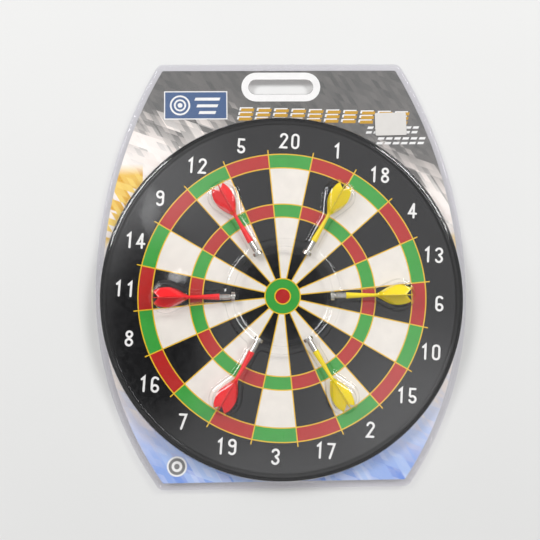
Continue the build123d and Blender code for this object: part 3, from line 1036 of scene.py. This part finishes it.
def turned_rim():
    """The moulded rim: a bead with a sloped crest round the face, a groove, a round shoulder and a wall."""
    crest = (LIP_RADIUS + 2.2, BOARD_FRONT - CREST)
    foot = (crest[0] + CREST_SLOPE * math.cos(SLOPE_TILT), crest[1] - CREST_SLOPE * math.sin(SLOPE_TILT))
    tilt = 90 - math.degrees(SLOPE_TILT)
    bead = arc(crest, CREST, 150, tilt, 8) + arc(foot, CREST, tilt, 30, 5)
    shoulder = arc((BOARD_RADIUS - SHOULDER, FACE - 1.0), SHOULDER, 105, 0, 10)
    back = depth_of("rim_frame", "back")
    inner = BOARD_RADIUS - RIM_WALL
    section = [(LIP_RADIUS, FACE + INK), (LIP_RADIUS + 0.9, FACE + 0.3), *bead]
    section += [(LIP_RADIUS + 4.75, FACE + 0.3), (LIP_RADIUS + 5.1, FACE + 0.3), *shoulder]
    section += [(BOARD_RADIUS, back + 0.4), (BOARD_RADIUS - 0.4, back), (inner, back)]
    section += [(inner, FACE - 1.0), (inner - 3.0, FACE - 1.0), (inner - 3.0, FACE + INK)]
    rim = Sheet()
    loops = [rim.contour(circle_loop(radius, 360), depth) for radius, depth in section]
    for a, b in zip(loops, loops[1:] + loops[:1]):
        rim.loft(a, b)
    return rim


def front_sheet():
    piece = formed_sheet().object("clear_front_sheet")
    outward = sum(p.normal.y * p.area for p in piece.data.polygons)
    if outward > 0:
        piece.data.flip_normals()
    thick = piece.modifiers.new("thickness", "SOLIDIFY")
    thick.thickness = SHEET * MM
    thick.offset = -1
    graph = bpy.context.evaluated_depsgraph_get()
    made = bpy.data.meshes.new_from_object(piece.evaluated_get(graph))
    piece.modifiers.clear()
    piece.data = made
    smooth(piece, 40)
    material = clear_plastic("clear_front", (0.986, 0.985, 0.991, 1), 0.035)
    finish_piece(piece, "front_cover", "clear_plastic", material, "front_shell")


# ---- The darts, drawn along +X from the magnet's face with the first fin up ----


def tail_height(roll):
    """Height of the axis over the two lower fins' edges."""
    return FIN_RADIUS * math.cos(math.radians(60 - abs(roll))) + FIN_THICK / 2


def dart_place(name, roll):
    """Where a dart lies, from its magnet's place in the frame: turned, tipped up at the tail and rolled."""
    magnet = centre_of(name + "_magnet")
    tilt = math.atan2(tail_height(roll) - HEAD_RADIUS, CONTACT)
    turn = math.atan2(magnet.z, magnet.x)
    flat, steep = math.cos(tilt), math.sin(tilt)
    along = Vector((math.cos(turn) * flat, -steep, math.sin(turn) * flat))
    out = Vector((-math.cos(turn) * steep, -flat, -math.sin(turn) * steep))
    axes = Matrix((along, out.cross(along), out)).transposed().to_4x4()
    start = Matrix.Translation((magnet - along * MAGNET_THICK / 2) * MM)
    return start @ axes @ Matrix.Rotation(math.radians(roll), 4, "X") @ Matrix.Scale(MM, 4)


def turned_bar(points, faces, profile, around, ridge=0.0):
    """Adds a bar turned about +X from (station, radius) points; ridge raises a rib above each fin."""
    first = len(points)
    for station, radius in profile:
        for k in range(around):
            angle = math.tau * k / around
            swell = 1 + ridge * max(0.0, math.cos(3 * angle)) ** 6
            points.append((station, -radius * swell * math.sin(angle), radius * swell * math.cos(angle)))
    rows = len(profile)
    for r in range(rows - 1):
        for k in range(around):
            a, b = first + r * around + k, first + r * around + (k + 1) % around
            faces.append([a, b, b + around, a + around])
    faces.append(list(range(first, first + around))[::-1])
    faces.append(list(range(first + (rows - 1) * around, first + rows * around)))


def bezier_curve(a, b, c, d, steps):
    """Points of a cubic curve."""
    a, b, c, d = (np.array(point) for point in (a, b, c, d))
    return [
        tuple((1 - t) ** 3 * a + 3 * (1 - t) ** 2 * t * b + 3 * (1 - t) * t * t * c + t ** 3 * d)
        for t in np.linspace(0, 1, steps + 1)
    ]


def fin_edge(steps):
    """The fin's outer edge, as (station, radius), from the shaft out to the tail's tip."""
    peak = (FIN_PEAK, FIN_RADIUS)
    front = bezier_curve((FIN_START, 1.2), (FIN_START + 7, 3.4), (FIN_PEAK - 10, FIN_RADIUS), peak, steps)
    lobe = (DART_LENGTH - 1.5, FIN_RADIUS * 0.82)
    tip = (DART_LENGTH, FIN_RADIUS * 0.6)
    return front + bezier_curve(peak, (FIN_PEAK + 7, FIN_RADIUS), lobe, tip, steps)[1:]


def add_fin(points, faces, turn):
    """Adds one fin: thick at the shaft, thin at the edge, closed along its outer and tail edges."""
    edge = fin_edge(13)
    last = len(edge) - 1
    shares = [0.0, 0.3, 0.6, 0.84, 0.93, 1.0]
    cos_turn, sin_turn = math.cos(turn), math.sin(turn)
    grid = {}
    for i, (station, radius) in enumerate(edge):
        root = FIN_START + (CORE_END - FIN_START) * i / last
        for j, v in enumerate(shares):
            x = root + (station - root) * v
            r = radius * v
            rim = j == len(shares) - 1 or i == last
            half = 0.0 if rim else FIN_THICK * (0.62 - 0.22 * v)
            if v > 0.9 or i >= last - 1:
                half *= 0.8
            for side in (-1, 1):
                if rim and side == 1:
                    grid[i, j, 1] = grid[i, j, -1]
                    continue
                y = half * side
                grid[i, j, side] = len(points)
                points.append((x, y * cos_turn - r * sin_turn, y * sin_turn + r * cos_turn))
    for i in range(last):
        for j in range(len(shares) - 1):
            for side in (-1, 1):
                cell = ((i, j), (i + 1, j), (i + 1, j + 1), (i, j + 1))
                corners = [grid[a, b, side] for a, b in cell]
                faces.append(corners if side == 1 else corners[::-1])
        faces.append([grid[i, 0, -1], grid[i + 1, 0, -1], grid[i + 1, 0, 1], grid[i, 0, 1]])
    for j in range(len(shares) - 1):
        faces.append([grid[0, j, 1], grid[0, j + 1, 1], grid[0, j + 1, -1], grid[0, j, -1]])


def flight_mesh():
    """Shaft with three ribs and three fins, one moulding."""
    points, faces = [], []
    front = BARREL_END + 0.3
    run = FIN_START - 4 - front
    fall = SHAFT_NECK_RADIUS - SHAFT_RADIUS
    profile = [(BARREL_END - 3.5, 1.9), (BARREL_END + 0.02, 1.9)]
    profile += [(BARREL_END + 0.02, SHAFT_RADIUS - 0.3), (front, SHAFT_RADIUS)]
    profile += [(front + run * s, SHAFT_RADIUS + fall * s) for s in np.linspace(0.1, 1, 10)]
    profile += [(FIN_START + 4, SHAFT_NECK_RADIUS), (FIN_START + 18, 1.35)]
    profile += [(CORE_END - 0.4, 0.9), (CORE_END, 0.5)]
    turned_bar(points, faces, profile, 48, 0.1)
    for k in range(3):
        add_fin(points, faces, k * math.tau / 3)
    return build_mesh("dart_flight", points, faces)


def metal_mesh():
    """Magnet cup, neck and barrel with fine grooves."""
    points, faces = [], []
    edge = 0.45
    bevel = 0.13
    cup = MAGNET_THICK + 0.02, MAGNET_RADIUS + 0.02
    profile = [(cup[0], 0.4), cup, (0.25, cup[1]), (0.0, MAGNET_RADIUS + 0.25)]
    profile += [(0.0, HEAD_RADIUS - edge), (bevel, HEAD_RADIUS - bevel), (edge, HEAD_RADIUS)]
    profile += [(HEAD_LENGTH - edge, HEAD_RADIUS), (HEAD_LENGTH - bevel, HEAD_RADIUS - bevel)]
    profile += [(HEAD_LENGTH, HEAD_RADIUS - edge), (HEAD_LENGTH, NECK_RADIUS + 0.3)]
    profile += [(HEAD_LENGTH + 0.3, NECK_RADIUS), (NECK_END, NECK_RADIUS), (NECK_END, BARREL_RADIUS - 0.4)]
    profile += [(NECK_END + 0.15, BARREL_RADIUS - 0.1), (NECK_END + 0.4, BARREL_RADIUS)]
    for groove in (NECK_END + 2.0, NECK_END + 8.6):
        for offset, depth in ((-0.35, 0.0), (-0.15, 0.22), (0.15, 0.22), (0.35, 0.0)):
            profile.append((groove + offset, BARREL_RADIUS - depth))
    profile += [(BARREL_END - 0.2, BARREL_RADIUS), (BARREL_END, BARREL_RADIUS - 0.15), (BARREL_END, 0.4)]
    turned_bar(points, faces, profile, 56)
    return build_mesh("dart_metal", points, faces)


def lay_darts():
    flight, bright = flight_mesh(), metal_mesh()
    plastics = {
        "yellow": moulded_plastic("yellow_plastic", srgb(255, 224, 0), 0.2, 0.38, 1.0, 0.15),
        "red": moulded_plastic("red_plastic", srgb(252, 32, 38), 0.2, 0.38, 1.0, 0.15),
    }
    plating = metal("dart_plating", srgb(226, 224, 218), 0.08, 0.24)
    nickel = metal("magnet_nickel", srgb(176, 174, 168), 0.2, 0.4)
    for name, roll in DARTS:
        color = name.split("_")[0]
        for mesh, part, slot, material, nodes in (
            (flight, "fins", color + "_plastic", plastics[color], ["flight"]),
            (bright, "metal", "dart_plating", plating, ["head", "barrel"]),
        ):
            piece = bpy.data.objects.new(f"{name}_{part}", mesh.copy())
            bpy.context.scene.collection.objects.link(piece)
            piece.data.transform(dart_place(name, roll))
            smooth(piece, 32)
            finish_piece(piece, name, slot, material, *[f"{name}_{node}" for node in nodes])
        dress(name + "_magnet", nickel, 30)


# ---- The CAD nodes that stay ----


def dress(node, material, angle=None):
    """Gives a CAD node a better material, and even shading if it is round."""
    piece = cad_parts[node]
    piece.data.materials.clear()
    piece.data.materials.append(material)
    if angle is None:
        piece.data.shade_flat()
    else:
        smooth(piece, angle)


def dress_frame():
    dress("face_film", printed_ink("black_film", srgb(18, 18, 19), 0.12))
    rim_plastic = moulded_plastic("rim_plastic", srgb(14, 14, 15), 0.05, 0.14, 0.4)
    finish_piece(turned_rim().object("moulded_rim", 50), "board", "rim_plastic", rim_plastic, "rim_frame")
    dress("backing_card", card_print())
    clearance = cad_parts["backing_card"].modifiers.new("clearance", "DISPLACE")
    clearance.mid_level = 0.0
    clearance.strength = -CARD_CLEARANCE * MM
    dress("price_sticker", paper("label_paper", srgb(209, 206, 202)))
    dress("target_plate", metal("tin_plate", srgb(190, 190, 190), 0.25, 0.45))
    dress("foam_core", foam("core_foam"))
    dress("back_panel", hardboard("hardboard"))
    zinc = metal("zinc_steel", srgb(196, 198, 200), 0.22, 0.45)
    for node in ("panel_screws", "hanger_plate", "hanger_rivets"):
        dress(node, zinc, 30)
    dress("back_shell", clear_plastic("clear_back", (0.925, 0.92, 0.94, 1), 0.04))


# ---- Backdrop, light and camera ----


def backdrop():
    """A pale wall close behind the pack, seen by the camera alone, so the pack's back is lit freely."""
    half, gap = 6.0, 0.0065
    mesh = bpy.data.meshes.new("backdrop")
    corners = [(-half, gap, -half), (half, gap, -half), (half, gap, half), (-half, gap, half)]
    mesh.from_pydata(corners, [], [[0, 1, 2, 3]])
    wall_piece = bpy.data.objects.new("backdrop", mesh)
    bpy.context.scene.collection.objects.link(wall_piece)
    mesh.materials.append(backdrop_look())
    wall_piece.visible_diffuse = False
    wall_piece.visible_glossy = False
    wall_piece.visible_shadow = False


def soft_light(name, around):
    """A softbox aimed at the bull, at an angle clockwise round the pack."""
    off_axis = math.radians(SOFTBOX_OFF_AXIS)
    aside, up = polar(math.sin(off_axis), around)
    away = Vector((aside, -math.cos(off_axis), up))
    across = Vector((math.cos(around), 0, -math.sin(around)))
    width, height = SOFTBOX_SIZE
    data = bpy.data.lights.new(name, "AREA")
    data.shape = "RECTANGLE"
    data.size, data.size_y = width, height
    data.energy = SOFTBOX_GLOW * math.pi * width * height
    lamp = bpy.data.objects.new(name, data)
    axes = Matrix((across, away.cross(across), away)).transposed().to_4x4()
    lamp.matrix_world = Matrix.Translation(away * SOFTBOX_DISTANCE) @ axes
    bpy.context.scene.collection.objects.link(lamp)


def room():
    """A white room: dimmer near the front axis, with dark and bright patches there, and at the horizon."""
    world = bpy.data.worlds.new("room")
    bpy.context.scene.world = world
    net = Nodes(world, "ShaderNodeOutputWorld")
    apart = net.node("ShaderNodeSeparateXYZ", {0: net.node("ShaderNodeTexCoord").outputs["Generated"]})
    ahead = net.times(apart.outputs[1], -1.0)
    divisor = net.maths("MAXIMUM", ahead, 0.02)
    across = net.maths("DIVIDE", apart.outputs[0], divisor)
    up = net.maths("DIVIDE", apart.outputs[2], divisor)

    def patch(centre_across, centre_up, half_width, half_height, soft):
        """1 inside an oval of directions and 0 outside, by the tangents of the angles off the front axis."""
        aside = net.maths("DIVIDE", net.maths("SUBTRACT", across, centre_across), half_width)
        above = net.maths("DIVIDE", net.maths("SUBTRACT", up, centre_up), half_height)
        squares = net.maths("ADD", net.times(aside, aside), net.times(above, above))
        return net.span(net.maths("SQRT", squares), 1 + soft, 1 - soft, smooth_step=True)

    level = net.span(patch(0, 0, 0.6, 0.6, 0.3), 0, 1, ROOM_WIDE, ROOM_NEAR)
    for oval, gain in ROOM_GLOW:
        level = net.maths("MULTIPLY_ADD", patch(*oval), gain, level)
    for oval in ROOM_DARK:
        level = net.times(level, net.maths("MULTIPLY_ADD", patch(*oval), -ROOM_DIMMING, 1.0))
    for oval, gain in ROOM_GLINTS:
        level = net.maths("MULTIPLY_ADD", patch(*oval), gain, level)
    horizon = net.span(net.maths("ABSOLUTE", ahead), 0.1, 0.45, 0.3, 1.0)
    level = net.times(level, horizon)
    level = net.node("ShaderNodeMapRange", {0: ahead, 1: -0.1, 2: 0.1, 3: ROOM_BEHIND, 4: level}).outputs[0]
    seen = net.node("ShaderNodeLightPath").outputs["Is Camera Ray"]
    level = net.maths("ADD", net.times(seen, ROOM_SEEN), net.times(net.maths("SUBTRACT", 1.0, seen), level))
    sky = net.node("ShaderNodeBackground", {"Color": (1.0, 1.0, 1.0, 1.0), "Strength": level})
    net.surface(sky.outputs[0])


def studio():
    room()
    for name, around in SOFTBOX_AROUND.items():
        soft_light(name + "_softbox", math.radians(around))


def camera():
    """A close camera a little left of and below the bull, aimed above it, with the pack leaning left."""
    data = bpy.data.cameras.new("camera")
    data.sensor_width = 36.0
    data.lens = CAMERA_LENS
    made = bpy.data.objects.new("camera", data)
    bpy.context.scene.collection.objects.link(made)
    stand = place(*CAMERA_STAND)
    lean = math.radians(CAMERA_LEAN)
    back = (stand - place(*CAMERA_TARGET)).normalized()
    up_hint = Vector((math.sin(lean), 0, math.cos(lean)))
    right = up_hint.cross(back).normalized()
    up = back.cross(right)
    made.matrix_world = Matrix.Translation(stand) @ Matrix((right, up, back)).transposed().to_4x4()
    bpy.context.scene.camera = made


def settings():
    """Plain colour rendering, and enough see-through layers for the sheets' walls."""
    scene = bpy.context.scene
    scene.view_settings.view_transform = "Standard"
    scene.cycles.transparent_max_bounces = 32


# ---- Build ----

print_face()
print_card()
front_sheet()
lay_darts()
dress_frame()
backdrop()
studio()
camera()
settings()
